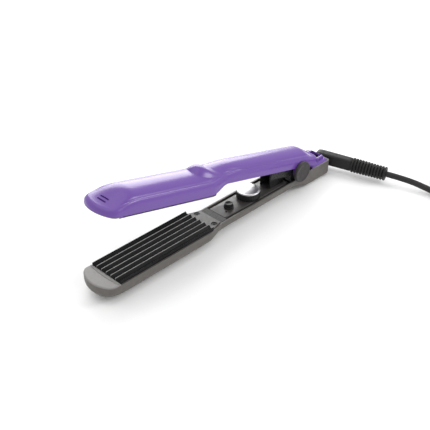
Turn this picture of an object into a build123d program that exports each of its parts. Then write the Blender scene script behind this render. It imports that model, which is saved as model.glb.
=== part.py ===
from build123d import *
import os
from math import pi, radians, tan

# Hair crimper: two arms hinged near the rear, with ridged plates that mesh.
# Frame: +X runs from the plates' tip to the cord, +Z is up, the table is z = 0, and the origin is
# under the middle of the arms' straight length. Every piece of the upper arm is drawn closed, on planes that are
# then swung open about the hinge, which is how the crimper rests.

# Driving dimensions, in millimetres and degrees
nose_x = -158.0
rear_x = 154.5
plate_front = -141.0
plate_length = 115.0
plate_width = 38.0
ridge_count = 6
ridge_depth = 2.8
plate_level = 21.6
rim = 18.0
head_half = 20.5
upper_neck_half = 16.5
lower_neck_half = 15.3
wall = 1.4
shoulder_radius = 3.2
waist_start = -33.0
waist_end = -8.0
bulge_start = 94.0
bulge_end = 121.0
tail_start = 113.0
tail_end = 126.0
hinge_x = 103.3
hinge_z = 26.2
open_angle = 14.8
plate_gap = 0.5
pin_radius = 2.5
running_gap = 0.05
dial_x = 42.4
button_x = 14.0
lens_x = 6.0
panel_front = -2.0
panel_back = 89.0
panel_half = 11.0
panel_top = 16.3
outlet_z = 12.5
barrel_radius = 3.6
socket_radius = 4.4
gland_length = 72.0
rib_count = 12
rib_radius = 8.0
coil_x = 243.0
coil_y = -149.0
coil_radius = 36.0
plug_x = 294.3
plug_rear = -127.0
plug_level = 7.0
cord_diameter = 6.3
cord_length = 1800.0
belly_trim = 0.6
carrier_height = 6.0
heater_height = 2.0
lower_plate_back = 15.0
upper_plate_back = 27.5
screw_x = -18.4
shroud_front = 67.3
shroud_half = 6.8
shroud_wall = 1.2
shroud_back = 88.0
screw_y = 11.9
deck_top = 14.6
deck_bottom = 12.6
boss_places = [(-9, -7), (-9, 7), (72, -7), (72, 7)]
button_radius = 4.0
button_top = 21.2
shaft_radius = 2.0
dial_rise = 23.3
board_top = 9.6
screw_seat = 7.4

plate_half = plate_width / 2
plate_back = plate_front + plate_length
plate_middle = (plate_front + plate_back) / 2
cord_radius = cord_diameter / 2


def ease(x, start, end):
    """Smooth step from 0 at start to 1 at end."""
    t = min(max((x - start) / (end - start), 0.0), 1.0)
    return t * t * (3 - 2 * t)


def lower_half(x):
    return head_half + (lower_neck_half - head_half) * ease(x, waist_start, waist_end)


def upper_half(x):
    return head_half + (upper_neck_half - head_half) * ease(x, waist_start, waist_end)


def lower_rim(x):
    return rim - 1.4 * ease(x, waist_start, waist_end) + 1.4 * ease(x, bulge_start, bulge_end)


def nose_rise(x, depth, reach=26.0):
    """How far the lower arm's underside rises towards the nose."""
    t = max((nose_x + reach - x) / reach, 0.0)
    return depth * t * t


def nose_drop(x, depth):
    """How far the upper arm's top falls towards the nose."""
    return depth * ease(-x, 124, 160)


def lower_shoulder(x):
    waisted = 2.0 * ease(x, waist_start, waist_end) - 9.5 * ease(x, bulge_start, bulge_end)
    return 9.0 + waisted + nose_rise(x, 3.0)


def lower_belly(x):
    arched = 3.0 * ease(x, waist_start, waist_end + 8) - 3.0 * ease(x, bulge_start, bulge_end)
    return arched + nose_rise(x, 8.5) - belly_trim


def upper_rim(x):
    return 23.4 + 6.8 * ease(x, waist_start, waist_end)


def upper_shoulder(x):
    return 33.1 + 4.9 * ease(x, waist_start, waist_end + 16) - nose_drop(x, 4.8)


def upper_crown(x):
    tail_drop = 6.0 * ease(x, tail_start, tail_start + 10)
    return 41.2 + 4.2 * ease(x, waist_start - 14, waist_end + 16) - nose_drop(x, 12.3) - tail_drop


def spread(start, end, count):
    """Evenly spaced places from start to end, both included."""
    return [start + (end - start) * i / count for i in range(count + 1)]


lower_stations = spread(nose_x - 3, -131, 6) + spread(waist_start, 8, 10)
lower_stations += spread(bulge_start, bulge_end, 8) + [rear_x]
upper_stations = spread(nose_x - 3, -125, 9) + spread(waist_start - 14, 8, 13)
upper_stations += spread(tail_start, tail_end, 5)

hinge_turn = (
    Location((hinge_x, 0, hinge_z), (0, open_angle, 0)) * Location((-hinge_x, 0, -hinge_z))
)


def swung(plane):
    """A plane of the closed upper arm, where it stands with the arm open."""
    return Plane(hinge_turn * plane.location)


def arm_section(plane, half, rim_level, shoulder, crown):
    """Cross-section of an arm: flat rim, upright sides, rounded shoulders and an arched crown."""
    with BuildSketch(plane) as section:
        with BuildLine():
            Polyline((-half, shoulder), (-half, rim_level), (half, rim_level), (half, shoulder))
            ThreePointArc((half, shoulder), (0, crown), (-half, shoulder))
        make_face()
        corners = vertices().group_by(Axis.Y)[-1 if crown > rim_level else 0]
        fillet(corners, shoulder_radius)
    return section.sketch


def nose_outline(plane, inset):
    """Plan of an arm: a broad arc at the nose with rounded corners, then straight to the rear."""
    half = head_half - inset
    with BuildSketch(plane) as outline:
        with BuildLine():
            ThreePointArc((nose_x + 8, half), (nose_x + inset, 0), (nose_x + 8, -half))
            Polyline((nose_x + 8, -half), (rear_x - inset, -half),
                     (rear_x - inset, half), (nose_x + 8, half))
        make_face()
        fillet(vertices().group_by(Axis.X)[0], 9 - inset)
    return outline.sketch


def lower_solid(inset, extra):
    """The lower arm's outer shape, or its hollow, which reaches above the rim by extra.

    Both are trimmed flat below, so the arm rests on flats at its head and rear."""
    with BuildPart() as solid:
        loft([
            arm_section(Plane.YZ.offset(x), lower_half(x) - inset, lower_rim(x) + extra,
                        lower_shoulder(x) + inset, lower_belly(x) + inset)
            for x in lower_stations
        ], ruled=True)
        extrude(nose_outline(Plane.XY.offset(inset), inset), amount=60, mode=Mode.INTERSECT)
    return solid.part


def upper_solid(inset, extra):
    """The upper arm's outer shape, or its hollow, which reaches below the rim by extra."""
    with BuildPart() as solid:
        loft([
            arm_section(swung(Plane.YZ.offset(x)), upper_half(x) - inset, upper_rim(x) - extra,
                        upper_shoulder(x) - inset, upper_crown(x) - inset)
            for x in upper_stations
        ], ruled=True)
        extrude(nose_outline(swung(Plane.XY), inset), amount=90, both=True, mode=Mode.INTERSECT)
    return solid.part


def write(piece, label):
    """Name a finished piece and write its file."""
    piece.part.label = label
    export_step(piece.part, f"parts/{label}.step")


def cover_outline(plane, half, start, end):
    """Plan of a cover that follows the inside of an arm's side walls."""
    places = spread(start, end, 8)
    near = [(x, 0.4 + wall - half(x)) for x in places]
    far = [(x, half(x) - wall - 0.4) for x in reversed(places)]
    with BuildSketch(plane) as outline:
        with BuildLine():
            Polyline(*near, *far, close=True)
        make_face()
    return outline.sketch


def ridges(level):
    """The plate's ridged line across its width, with a crest at each edge."""
    pitch = plate_width / ridge_count
    steps = range(2 * ridge_count + 1)
    return [(i * pitch / 2 - plate_half, level - ridge_depth * (i % 2)) for i in steps]


def nose_pad(plane, depth):
    """Cool tip: the pad that closes an arm in front of its plate."""
    with BuildPart() as pad:
        extrude(nose_outline(plane, wall + 0.1), amount=depth)
        with BuildSketch(plane):
            with Locations((nose_x, 0)):
                Rectangle(2 * (plate_front - 0.15 - nose_x), 2 * head_half)
        extrude(amount=depth, both=True, mode=Mode.INTERSECT)
    return pad.part


def plate_pocket(plane):
    """Plan of the room for a plate in its case, a little larger than the plate."""
    with BuildSketch(plane) as pocket:
        with Locations((plate_middle, 0)):
            Rectangle(plate_length + 0.1, plate_width + 0.2)
    return pocket.sketch


def carrier(plane, sign):
    """Heat-resistant carrier behind a plate, with the pocket that holds the heater."""
    with BuildPart() as tray:
        with BuildSketch(plane):
            with Locations((plate_middle, 0)):
                Rectangle(plate_length - 20, 30)
        extrude(amount=sign * carrier_height)
        with BuildSketch(plane):
            with Locations((plate_middle, 0)):
                Rectangle(89, 20)
        extrude(amount=sign * heater_height, mode=Mode.SUBTRACT)
    return tray.part


def heater(plane, sign):
    """Ceramic heater bar that lies against the back of a plate."""
    with BuildPart() as bar:
        with BuildSketch(plane):
            with Locations((plate_middle, 0)):
                Rectangle(86, 16)
        extrude(amount=sign * heater_height)
    return bar.part


os.makedirs("parts", exist_ok=True)

# Lower arm: the case, and what it holds at the plate end
with BuildPart() as lower_case:
    add(lower_solid(0, 0))
    add(lower_solid(wall, 1), mode=Mode.SUBTRACT)
    with BuildSketch(Plane.XY.offset(deck_bottom)):
        with Locations(*boss_places):
            Circle(3)
    extrude(amount=-deck_bottom)
    add(lower_solid(0, 0), mode=Mode.INTERSECT)
    with BuildSketch(Plane.XY):
        with Locations(*boss_places):
            Circle(2.3)
    extrude(amount=screw_seat, mode=Mode.SUBTRACT)
    with BuildSketch(Plane.XY):
        with Locations(*boss_places):
            Circle(1)
    extrude(amount=deck_bottom, mode=Mode.SUBTRACT)
    extrude(plate_pocket(Plane.XY.offset(lower_plate_back - 0.1)), amount=20, mode=Mode.SUBTRACT)
    with BuildSketch(Plane.YZ.offset(rear_x)):
        with Locations((0, outlet_z)):
            Circle(socket_radius)
    extrude(amount=-4, mode=Mode.SUBTRACT)
write(lower_case, "lower_case")

with BuildPart() as lower_case_screws:
    with BuildSketch(Plane.XY.offset(screw_seat)):
        with Locations(*boss_places):
            Circle(2.2)
    extrude(amount=-1.6)
    with BuildSketch(Plane.XY.offset(screw_seat)):
        with Locations(*boss_places):
            Circle(1)
    extrude(amount=6.4)
write(lower_case_screws, "lower_case_screws")

with BuildPart() as lower_cool_tip:
    add(nose_pad(Plane.XY.offset(15.6), 2.6))
write(lower_cool_tip, "lower_cool_tip")

with BuildPart() as lower_plate:
    with BuildSketch(Plane.YZ.offset(plate_front)):
        with BuildLine():
            Polyline(*ridges(plate_level), (plate_half, lower_plate_back),
                     (-plate_half, lower_plate_back), close=True)
        make_face()
    extrude(amount=plate_length)
write(lower_plate, "lower_plate")

with BuildPart() as lower_heater:
    add(heater(Plane.XY.offset(lower_plate_back), -1))
write(lower_heater, "lower_heater")

with BuildPart() as lower_plate_carrier:
    add(carrier(Plane.XY.offset(lower_plate_back), -1))
write(lower_plate_carrier, "lower_plate_carrier")

with BuildPart() as thermal_fuse:
    with BuildSketch(Plane.YZ.offset(-66)):
        with Locations((0, 5.6)):
            Circle(1.8)
    extrude(amount=11)
write(thermal_fuse, "thermal_fuse")

with BuildPart() as lower_inner_frame:
    frame_plane = Plane.XY.offset(lower_plate_back)
    extrude(cover_outline(frame_plane, lower_half, plate_back + 0.1, -12.1), amount=3.2)
    with Locations((screw_x, -screw_y, rim + 0.2), (screw_x, screw_y, rim + 0.2)):
        CounterBoreHole(radius=1.5, counter_bore_radius=3.1, counter_bore_depth=1.6)
write(lower_inner_frame, "lower_inner_frame")

with BuildPart() as lower_plate_screws:
    with BuildSketch(Plane.XY.offset(16.6)):
        with Locations((screw_x, -screw_y), (screw_x, screw_y)):
            Circle(2.8)
    extrude(amount=1)
    with BuildSketch(Plane.XY.offset(16.6)):
        with Locations((screw_x, -screw_y), (screw_x, screw_y)):
            Circle(1.5)
    extrude(amount=-4)
    with BuildSketch(Plane.XY.offset(17.6)):
        for y in (-screw_y, screw_y):
            with Locations((screw_x, y)):
                Rectangle(3.2, 0.8)
                Rectangle(0.8, 3.2)
    extrude(amount=-0.6, mode=Mode.SUBTRACT)
write(lower_plate_screws, "lower_plate_screws")

# Lower arm: the neck with its controls
with BuildPart() as neck_deck:
    deck_plane = Plane.XY.offset(deck_bottom)
    extrude(cover_outline(deck_plane, lower_half, -11.9, 92), amount=deck_top - deck_bottom)
    extrude(cover_outline(Plane.XY.offset(deck_top), lower_half, -11.9, panel_front - 0.6), amount=2)
    with BuildSketch(Plane.XY.offset(deck_top)):
        with Locations((button_x, 0)):
            Circle(4.7)
        with Locations((dial_x, 0)):
            Circle(2.6)
        with Locations((lens_x, -3.8)):
            Circle(1.5)
    extrude(amount=-2, mode=Mode.SUBTRACT)
    with BuildSketch(Plane.XY.offset(deck_bottom)):
        with Locations(*boss_places):
            Circle(1)
    extrude(amount=1.4, mode=Mode.SUBTRACT)
write(neck_deck, "neck_deck")

with BuildPart() as control_panel:
    with BuildSketch(Plane.XY.offset(deck_top)):
        with Locations(((panel_front + panel_back) / 2, 0)):
            RectangleRounded(panel_back - panel_front, 2 * panel_half, 1.2)
        with Locations((button_x, 0)):
            Circle(4.1, mode=Mode.SUBTRACT)
        with Locations((dial_x, 0)):
            Circle(2.6, mode=Mode.SUBTRACT)
        with Locations((lens_x, -3.8)):
            Circle(1.0, mode=Mode.SUBTRACT)
    extrude(amount=panel_top - deck_top)
write(control_panel, "control_panel")

with BuildPart() as button_ring:
    with BuildSketch(Plane.XY.offset(panel_top)):
        with Locations((button_x, 0)):
            Circle(4.9)
            Circle(4.1, mode=Mode.SUBTRACT)
    extrude(amount=2.2)
write(button_ring, "button_ring")

with BuildPart() as power_button:
    with BuildSketch(Plane.XY.offset(13.6)):
        with Locations((button_x, 0)):
            Circle(4.6)
    extrude(amount=0.9)
    with BuildSketch(Plane.XY.offset(14.5)):
        with Locations((button_x, 0)):
            Circle(button_radius)
    extrude(amount=button_top - 14.5)
    with BuildSketch(Plane.XY.offset(13.6)):
        with Locations((button_x, 0)):
            Circle(1.4)
    extrude(amount=-0.2)
    fillet(faces().sort_by(Axis.Z)[-1].edges(), 0.6)
    with Locations((button_x, 0, button_top + 6.6)):
        Sphere(7.2, mode=Mode.SUBTRACT)
write(power_button, "power_button")

with BuildPart() as indicator_lens:
    with BuildSketch(Plane.XY.offset(deck_top)):
        with Locations((lens_x, -3.8)):
            Circle(1.0)
    extrude(amount=2)
write(indicator_lens, "indicator_lens")

with BuildPart() as circuit_board:
    with BuildSketch(Plane.XY.offset(board_top - 1.6)):
        with Locations((28.5, 0)):
            Rectangle(63, 19)
    extrude(amount=1.6)
write(circuit_board, "circuit_board")

with BuildPart() as tact_switch:
    with BuildSketch(Plane.XY.offset(board_top)):
        with Locations((button_x, 0)):
            Rectangle(6, 6)
    extrude(amount=2.2)
write(tact_switch, "tact_switch")

with BuildPart() as indicator_led:
    with BuildSketch(Plane.XY.offset(board_top)):
        with Locations((lens_x, -3.8)):
            Circle(1.4)
    extrude(amount=3.4)
    fillet(faces().sort_by(Axis.Z)[-1].edges(), 1.2)
write(indicator_led, "indicator_led")

with BuildPart() as dial_potentiometer:
    with BuildSketch(Plane.XY.offset(board_top)):
        with Locations((dial_x, 0)):
            Rectangle(13, 13)
    extrude(amount=2.8)
    with BuildSketch(Plane.XY.offset(board_top + 2.8)):
        with Locations((dial_x, 0)):
            Circle(shaft_radius + running_gap)
    extrude(amount=-2.2, mode=Mode.SUBTRACT)
write(dial_potentiometer, "dial_potentiometer")

with BuildPart() as dial_shaft:
    with BuildSketch(Plane.XY.offset(board_top + 0.8)):
        with Locations((dial_x, 0)):
            Circle(shaft_radius)
    extrude(amount=dial_rise - 1.2 - board_top - 0.8)
write(dial_shaft, "dial_shaft")

with BuildPart() as dial_knob:
    with BuildSketch(Plane.XY.offset(panel_top + 0.3)):
        with Locations((dial_x, 0)):
            Circle(12.2)
    extrude(amount=dial_rise - panel_top - 0.3, taper=3)
    with BuildSketch(Plane.XY.offset(panel_top + 0.3)):
        with Locations((dial_x, 0)):
            Circle(shaft_radius)
    extrude(amount=dial_rise - 1.2 - panel_top - 0.3, mode=Mode.SUBTRACT)
write(dial_knob, "dial_knob")

with BuildPart() as dial_cap:
    with BuildSketch(Plane.XY.offset(dial_rise)):
        with Locations((dial_x, 0)):
            Circle(11.7)
    extrude(amount=1.6)
    fillet(faces().sort_by(Axis.Z)[-1].edges(), 0.8)
write(dial_cap, "dial_cap")

with BuildPart() as lower_wire_shroud:
    with BuildSketch(Plane.XY.offset(panel_top)):
        with Locations(((shroud_front + shroud_back) / 2, 0)):
            Rectangle(shroud_back - shroud_front, 2 * shroud_half)
    extrude(amount=22.5)
    fillet(faces().sort_by(Axis.Z)[-1].edges().filter_by(Axis.X), 2)
    with BuildSketch(Plane.XY.offset(panel_top)):
        with Locations(((shroud_front + shroud_back) / 2, 0)):
            Rectangle(shroud_back - shroud_front + 2, 2 * (shroud_half - shroud_wall))
    extrude(amount=20.9, mode=Mode.SUBTRACT)
write(lower_wire_shroud, "lower_wire_shroud")

with BuildPart() as heater_leads:
    with BuildSketch(Plane.YZ.offset(-31.8)):
        with Locations((-2.4, 8.8), (2.4, 8.8)):
            Circle(0.8)
    extrude(amount=28.6)
write(heater_leads, "heater_leads")

with BuildPart() as mains_leads:
    with BuildSketch(Plane.YZ.offset(60.1)):
        with Locations((-2.6, 8.8), (0, 8.8), (2.6, 8.8)):
            Circle(1.1)
    extrude(amount=83)
write(mains_leads, "mains_leads")

# Hinge: bracket, pin, caps and the spring that opens the arms
hinge_point = (hinge_x, hinge_z)
with BuildPart() as hinge_bracket:
    for side in (-1, 1):
        with BuildSketch(Plane.XZ.offset(-side * 9.5)):
            with Locations(hinge_point):
                Circle(6.5)
            with Locations((hinge_x, (hinge_z + 11) / 2)):
                Rectangle(13, hinge_z - 11)
            with Locations(hinge_point):
                Circle(pin_radius, mode=Mode.SUBTRACT)
        extrude(amount=-side * 3.2)
    with BuildSketch(Plane.XY.offset(11)):
        with Locations((hinge_x, 0)):
            Rectangle(15, 25.4)
    extrude(amount=3)
write(hinge_bracket, "hinge_bracket")

with BuildPart() as hinge_pin:
    with BuildSketch(Plane.XZ.offset(-19.4)):
        with Locations(hinge_point):
            Circle(pin_radius)
    extrude(amount=38.8)
write(hinge_pin, "hinge_pin")

for side, label in ((-1, "hinge_cap_near"), (1, "hinge_cap_far")):
    with BuildPart() as hinge_cap:
        with BuildSketch(Plane.XZ.offset(-side * 17)):
            with Locations(hinge_point):
                Circle(11.2)
        extrude(amount=-side * 3.5)
        fillet(faces().sort_by(Axis.Y)[0 if side < 0 else -1].edges(), 1)
        with BuildSketch(Plane.XZ.offset(-side * 17)):
            with Locations(hinge_point):
                Circle(pin_radius)
        extrude(amount=-side * 2.4, mode=Mode.SUBTRACT)
    write(hinge_cap, label)

with BuildPart() as return_spring:
    with BuildLine():
        coil = Helix(pitch=1.9, height=11.4, radius=4.3,
                     center=(hinge_x, -5.7, hinge_z), direction=(0, 1, 0))
    with BuildSketch(Plane(origin=coil @ 0, z_dir=coil % 0)):
        Circle(0.6)
    sweep()
    with BuildSketch(Plane.YZ.offset(hinge_x - 11)):
        with Locations((5.7, hinge_z - 4.3)):
            Circle(0.6)
    extrude(amount=11)
    with BuildSketch(swung(Plane.YZ.offset(hinge_x - 9))):
        with Locations((-5.7, hinge_z + 4.3)):
            Circle(0.6)
    extrude(amount=9)
write(return_spring, "return_spring")

with BuildPart() as rear_cover:
    with BuildSketch(Plane.XY.offset(17)):
        with Locations((136.4, 0)):
            Rectangle(33, 2 * (lower_neck_half - wall - 0.25))
    extrude(amount=1.4)
    with BuildSketch(Plane.XY.offset(18.4)):
        with Locations((134.4, -8), (134.4, 8)):
            Rectangle(5.4, 4)
    extrude(amount=4.6)
write(rear_cover, "rear_cover")

with BuildPart() as swivel_socket:
    with BuildSketch(Plane.YZ.offset(rear_x - 4)):
        with Locations((0, outlet_z)):
            Circle(socket_radius)
            Circle(barrel_radius + running_gap, mode=Mode.SUBTRACT)
    extrude(amount=4)
write(swivel_socket, "swivel_socket")

# Upper arm
with BuildPart() as upper_case:
    add(upper_solid(0, 0))
    with BuildSketch(swung(Plane.XZ)):
        with BuildLine():
            Polyline((-50, 36), (-45.5, 41.3), (-38, 45.6), (-24, 42.4), (-20, 36), close=True)
        make_face()
    extrude(amount=11, both=True)
    add(upper_solid(wall, 1), mode=Mode.SUBTRACT)
    extrude(plate_pocket(swung(Plane.XY.offset(upper_plate_back + 0.1))), amount=-20, mode=Mode.SUBTRACT)
    for side in (-1, 1):
        with BuildSketch(swung(Plane.XZ.offset(-side * 13))):
            with Locations(hinge_point):
                Circle(7.8)
            with Locations((hinge_x, hinge_z + 4)):
                Rectangle(15.6, 8)
        extrude(amount=-side * 3.5)
    with BuildSketch(swung(Plane.XZ)):
        with Locations(hinge_point):
            Circle(3.6)
    extrude(amount=30, both=True, mode=Mode.SUBTRACT)
    with BuildSketch(swung(Plane.XY.offset(34))):
        with Locations((119, 0)):
            Rectangle(8, 15)
    extrude(amount=20, mode=Mode.SUBTRACT)
    with BuildSketch(swung(Plane.XY.offset(26.5))):
        with Locations((-145.6, 0), (-148.4, 0)):
            SlotOverall(11.2, 1.3, rotation=90)
    extrude(amount=20, mode=Mode.SUBTRACT)
write(upper_case, "upper_case")

with BuildPart() as upper_cool_tip:
    add(nose_pad(swung(Plane.XY.offset(23.2)), 2.6))
write(upper_cool_tip, "upper_cool_tip")

with BuildPart() as upper_plate:
    with BuildSketch(swung(Plane.YZ.offset(plate_front))):
        with BuildLine():
            Polyline(*ridges(plate_level + plate_gap), (plate_half, upper_plate_back),
                     (-plate_half, upper_plate_back), close=True)
        make_face()
    extrude(amount=plate_length)
write(upper_plate, "upper_plate")

with BuildPart() as upper_heater:
    add(heater(swung(Plane.XY.offset(upper_plate_back)), 1))
write(upper_heater, "upper_heater")

with BuildPart() as upper_plate_carrier:
    add(carrier(swung(Plane.XY.offset(upper_plate_back)), 1))
write(upper_plate_carrier, "upper_plate_carrier")

with BuildPart() as upper_inner_frame:
    extrude(cover_outline(swung(Plane.XY.offset(24)), upper_half, plate_back + 0.1, -12.1), amount=7)
    with BuildSketch(swung(Plane.XZ)):
        with BuildLine():
            under = [(x, upper_rim(x) + 0.2) for x in spread(plate_back - 1, -11, 6)]
            Polyline(*under, (-11, 31), (plate_back - 1, 31), close=True)
        make_face()
    extrude(amount=30, both=True, mode=Mode.INTERSECT)
write(upper_inner_frame, "upper_inner_frame")

with BuildPart() as upper_neck_cover:
    extrude(cover_outline(swung(Plane.XY.offset(31)), upper_half, -11.9, 48), amount=1.5)
    with BuildSketch(swung(Plane.XY.offset(31))):
        with Locations((4, -9), (4, 9)):
            Circle(1.2)
    extrude(amount=1.5, mode=Mode.SUBTRACT)
write(upper_neck_cover, "upper_neck_cover")

with BuildPart() as upper_cover_screws:
    with BuildSketch(swung(Plane.XY.offset(31))):
        with Locations((4, -9), (4, 9)):
            Circle(2.4)
    extrude(amount=-1.2)
    with BuildSketch(swung(Plane.XY.offset(31))):
        with Locations((4, -9), (4, 9)):
            Circle(1.2)
    extrude(amount=5)
write(upper_cover_screws, "upper_cover_screws")

with BuildPart() as upper_wire_shroud:
    with BuildSketch(swung(Plane.XY.offset(21.2))):
        with Locations((77, 12), (77, -12)):
            Rectangle(32, 1.4)
    extrude(amount=15.8)
    with BuildSketch(swung(Plane.XY.offset(31))):
        with Locations((91, 0)):
            Rectangle(2, 23)
    extrude(amount=6)
write(upper_wire_shroud, "upper_wire_shroud")

with BuildPart() as upper_leads:
    with BuildSketch(swung(Plane.YZ.offset(-11))):
        with Locations((-4, 36), (4, 36)):
            Circle(0.8)
    extrude(amount=58)
write(upper_leads, "upper_leads")

with BuildPart() as hinge_bushes:
    for side in (-1, 1):
        with BuildSketch(Plane.XZ.offset(-side * 13)):
            with Locations(hinge_point):
                Circle(3.6)
                Circle(pin_radius + running_gap, mode=Mode.SUBTRACT)
        extrude(amount=-side * 3.8)
write(hinge_bushes, "hinge_bushes")

# Cord outlet: a barrel that turns in the rear wall, an angled bar and a ribbed strain relief
elbow = Vector(161.5, 0, outlet_z)
gland_direction = Vector(0.3, -0.949, -0.032).normalized()
gland = Plane(origin=elbow, x_dir=(0.949, 0.3, 0), z_dir=gland_direction)
gland_end = elbow + gland_direction * gland_length

with BuildPart() as swivel_barrel:
    with BuildSketch(Plane.YZ.offset(146)):
        with Locations((0, outlet_z)):
            Circle(barrel_radius)
    extrude(amount=10)
write(swivel_barrel, "swivel_barrel")

with BuildPart() as swivel_collar:
    with BuildSketch(Plane.YZ.offset(148)):
        with Locations((0, outlet_z)):
            Circle(4.3)
            Circle(barrel_radius, mode=Mode.SUBTRACT)
    extrude(amount=1.8)
write(swivel_collar, "swivel_collar")

with BuildPart() as strain_relief:
    with BuildSketch(Plane.YZ.offset(156)):
        with Locations((0, outlet_z)):
            Circle(5.5)
    extrude(amount=5.5)
    with BuildSketch(Plane.XY.offset(outlet_z)):
        with Locations((elbow.X, 0)):
            Circle(5.5)
    extrude(amount=6.5, both=True)
    with BuildSketch(gland):
        RectangleRounded(11, 13, 3)
    extrude(amount=34)
    with BuildSketch(gland.offset(33)):
        Circle(5.6)
    with BuildSketch(gland.offset(gland_length)):
        Circle(4.4)
    loft()
    for i in range(rib_count):
        with BuildSketch(gland.offset(34.5 + i * 3.2)):
            Circle(rib_radius - 0.06 * i)
        extrude(amount=1.7)
write(strain_relief, "strain_relief")


def cord_path(points):
    """Straight runs joined by arcs, each as large as its two runs allow."""
    runs = [(b - a).length for a, b in zip(points, points[1:])]
    radii = []
    for i in range(1, len(points) - 1):
        turn = (points[i] - points[i - 1]).get_angle(points[i + 1] - points[i])
        radii.append(0.45 * min(runs[i - 1], runs[i]) / tan(radians(turn / 2)))
    print("arc radii:", [round(radius, 1) for radius in radii])
    with BuildLine() as path:
        FilletPolyline(*points, radius=radii)
    return path.wire()


def cord_tube(path):
    """A round cord along a path, with its volume compared with section times length."""
    with BuildPart() as tube:
        with BuildSketch(Plane(origin=path @ 0, z_dir=path % 0)):
            Circle(cord_radius)
        sweep(path=path)
    expected = pi * cord_radius**2 * path.length
    print("length", round(path.length, 1), "volume ratio", round(tube.part.volume / expected, 4))
    return tube.part


floor_z = cord_radius + 0.05
lead_route = [
    gland_end,
    gland_end + gland_direction * 24,
    Vector(195.6, -112.5, 5.6),
    Vector(197.8, -130.0, floor_z),
    Vector(198.0, -146.0, floor_z),
]
lead_path = cord_path(lead_route)
with BuildPart() as cord_lead:
    add(cord_tube(lead_path))
write(cord_lead, "cord_lead")

with BuildPart() as cord_coil:
    with BuildSketch(Plane(origin=(coil_x, coil_y, 0), z_dir=(0, -1, 0), x_dir=(1, 0, 0))):
        with Locations((coil_radius, 6.35)):
            RectangleRounded(25.2, 12.6, 3)
    revolve(axis=Axis((coil_x, coil_y, 0), (0, 0, 1)))
write(cord_coil, "cord_coil")

tail_route = [
    Vector(247.0, -195.5, floor_z),
    Vector(273.5, -195.5, floor_z),
    Vector(291.1, -182.3, floor_z),
    Vector(296.4, -160.0, floor_z),
    Vector(plug_x, -143.0, floor_z),
    Vector(plug_x, plug_rear, floor_z),
]
tail_path = cord_path(tail_route)
with BuildPart() as cord_tail:
    add(cord_tube(tail_path))
write(cord_tail, "cord_tail")

with BuildPart() as cord_tie:
    strap = Plane(origin=(coil_x, coil_y, 0), x_dir=(1, 1, 0), z_dir=(1, -1, 0))
    with BuildSketch(strap.offset(-3)):
        with Locations((coil_radius, 6.9)):
            Rectangle(28.0, 13.8)
        with Locations((coil_radius, 6.4)):
            Rectangle(26.0, 12.8, mode=Mode.SUBTRACT)
    extrude(amount=6)
write(cord_tie, "cord_tie")

with BuildPart() as plug_body:
    with BuildSketch(Plane.XZ.offset(-plug_rear)):
        with Locations((plug_x, plug_level)):
            RectangleRounded(14, 12, 4)
    with BuildSketch(Plane.XZ.offset(-plug_rear - 20)):
        with Locations((plug_x, plug_level)):
            RectangleRounded(34, 14, 5)
    loft()
    with BuildSketch(Plane.XZ.offset(-plug_rear - 20)):
        with Locations((plug_x, plug_level)):
            RectangleRounded(34, 14, 5)
    extrude(amount=-16)
write(plug_body, "plug_body")

with BuildPart() as plug_pins:
    with BuildSketch(Plane.XZ.offset(-plug_rear - 36)):
        with Locations((plug_x - 9.5, plug_level), (plug_x + 9.5, plug_level)):
            Circle(2)
    extrude(amount=-19)
write(plug_pins, "plug_pins")

wound = cord_length - lead_path.length - tail_path.length
print("turns in the coil:", round(wound / (2 * pi * coil_radius), 2))
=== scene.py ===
import math

import bmesh
import bpy
import numpy as np
from bpy.props import FloatProperty, FloatVectorProperty, IntProperty, PointerProperty
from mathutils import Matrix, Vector


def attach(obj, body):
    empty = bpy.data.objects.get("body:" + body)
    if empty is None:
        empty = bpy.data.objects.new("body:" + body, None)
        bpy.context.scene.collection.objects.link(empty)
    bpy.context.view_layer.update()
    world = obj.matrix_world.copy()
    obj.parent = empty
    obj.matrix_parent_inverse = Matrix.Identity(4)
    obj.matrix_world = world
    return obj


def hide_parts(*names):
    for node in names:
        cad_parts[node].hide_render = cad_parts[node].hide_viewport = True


bl_info = {
    "name": "Hair Crimper",
    "version": (1, 0, 0),
    "blender": (4, 5, 0),
    "location": "View3D > Sidebar > Crimper",
    "description": "Builds the pieces and finishes of a hinged hair crimper round its packed frame",
    "category": "Object",
}

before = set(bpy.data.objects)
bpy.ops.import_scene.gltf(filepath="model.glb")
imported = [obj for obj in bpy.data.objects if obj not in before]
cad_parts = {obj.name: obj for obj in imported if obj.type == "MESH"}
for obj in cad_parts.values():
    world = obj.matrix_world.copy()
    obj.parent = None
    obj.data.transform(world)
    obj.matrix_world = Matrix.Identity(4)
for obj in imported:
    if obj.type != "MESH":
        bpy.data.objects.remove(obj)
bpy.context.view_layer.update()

# Shapes are worked out in millimetres, with +X from the plates' tip to the cord, and scaled at the end.
MM = 0.001
MERGE = 2e-6  # metres, within which two points are one

NOSE_X = -158.0
REAR_X = 154.5
TAIL_X = 130.5  # rear end of the upper shell
PLATE_FRONT = -141.0
PLATE_BACK = -26.0
HINGE_X = 103.3
HINGE_Z = 26.2
OPEN_ANGLE = math.radians(14.8)
HEAD_HALF = 20.5  # half the width of both arms round the plates
PLATE_HALF = 19.0
WALL = 1.4
OUTLET_Z = 12.5
DIAL_X = 42.4
BUTTON_X = 14.0
PANEL_TOP = 16.3
DIAL_RISE = 23.3  # top of the dial's skirt

STEP = (-33, -8)  # where both arms narrow from the head to the neck
TAIL = (94, 121)  # where the lower arm's underside and rim rise behind the hinge

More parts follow.
